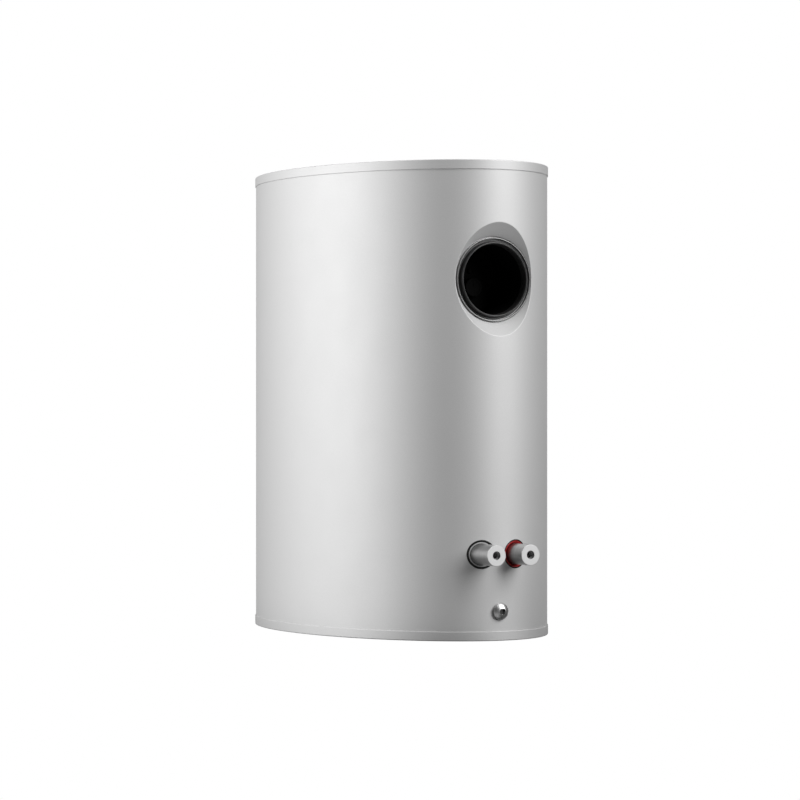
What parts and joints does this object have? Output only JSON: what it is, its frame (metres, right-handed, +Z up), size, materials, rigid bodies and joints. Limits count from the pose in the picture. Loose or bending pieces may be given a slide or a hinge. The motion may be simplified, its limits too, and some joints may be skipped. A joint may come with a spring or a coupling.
{
  "type": "tank water heater",
  "caption": "Upright oval storage water heater with a conical heater port, two side-by-side pipe stubs and a drain screw on its narrow end",
  "frame": {"origin": "centre of the base pan's flat underside", "axes": "+Z up, the oval is longest along Y, and the end with the port, the pipe stubs and the drain screw faces -Y"},
  "size_m": [0.2624, 0.4834, 0.48],
  "materials": {
    "silver_paint": "satin metallic silver",
    "polished_steel": "polished",
    "stub_metal": "satin",
    "collar_plastic": "semi-gloss dark",
    "black_plastic": "matte",
    "gland_plastic": "matte",
    "black_rubber": "matte",
    "grey_plastic": "satin",
    "red_plastic": "satin",
    "enamelled_steel": "glossy enamel",
    "zinc_steel": "zinc plated",
    "copper": "plain copper",
    "brass": "plain",
    "magnesium": "matte cast",
    "foam": "expanded foam"
  },
  "bodies": {
    "heater": {"casing_wrap": "silver_paint", "top_lid": "silver_paint", "base_pan": "silver_paint", "recess_dish": "silver_paint", "trim_ring": "polished_steel", "cold_stub": "stub_metal", "hot_stub": "stub_metal", "port_collar": "collar_plastic", "well_sleeve": "black_plastic", "head_cover": "black_plastic", "thermostat_body": "black_plastic", "gland_body": "gland_plastic", "gland_nut": "gland_plastic", "gland_locknut": "gland_plastic", "cold_grommet": "black_rubber", "hot_grommet": "black_rubber", "heater_gasket": "black_rubber", "internal_cable": "black_rubber", "cold_ring": "grey_plastic", "terminal_block": "grey_plastic", "hot_ring": "red_plastic", "tank_shell": "enamelled_steel", "tank_top_end": "enamelled_steel", "tank_bottom_end": "enamelled_steel", "heater_seat": "zinc_steel", "heater_flange": "zinc_steel", "cold_socket": "zinc_steel", "hot_socket": "zinc_steel", "anode_socket": "zinc_steel", "drain_pipe": "zinc_steel", "flange_bolt_1": "zinc_steel", "flange_bolt_2": "zinc_steel", "flange_bolt_3": "zinc_steel", "flange_bolt_4": "zinc_steel", "cover_post_1": "zinc_steel", "cover_post_2": "zinc_steel", "cover_screw_1": "zinc_steel", "cover_screw_2": "zinc_steel", "heating_element": "copper", "sensor_pocket": "copper", "inlet_elbow": "copper", "outlet_riser": "copper", "anode_plug": "brass", "sensor_bulb": "brass", "anode_rod": "magnesium", "foam_half_left": "foam", "foam_half_right": "foam"},
    "seal": {"drain_seal": "black_rubber"},
    "drain_screw": {"drain_screw": "polished_steel"},
    "knob": {"thermostat_knob": "black_plastic"},
    "button": {"reset_button": "black_plastic"}
  },
  "joints": [
    {"name": "drain_travel", "type": "slide", "parent": "heater", "child": "seal", "axis": [0, -1, 0], "range_m": [0, 0.0121]},
    {"name": "drain_turn", "type": "hinge", "parent": "seal", "child": "drain_screw", "pos_m": [0, -0.22, 0.0294], "axis": [0, -1, 0], "range_deg": [0, 2880]},
    {"name": "knob_turn", "type": "hinge", "parent": "heater", "child": "knob", "pos_m": [0, -0.16, 0.3545], "axis": [0, -1, 0], "range_deg": [-135, 135]},
    {"name": "reset_press", "type": "slide", "parent": "heater", "child": "button", "axis": [0, 1, 0], "range_m": [0, 0.0015], "stiffness_N_per_m": 600, "springref_m": -0.0015}
  ],
  "couplings": [
    {"joint": "drain_travel", "follows": "drain_turn", "m_per_rad": 0.00023873}
  ]
}
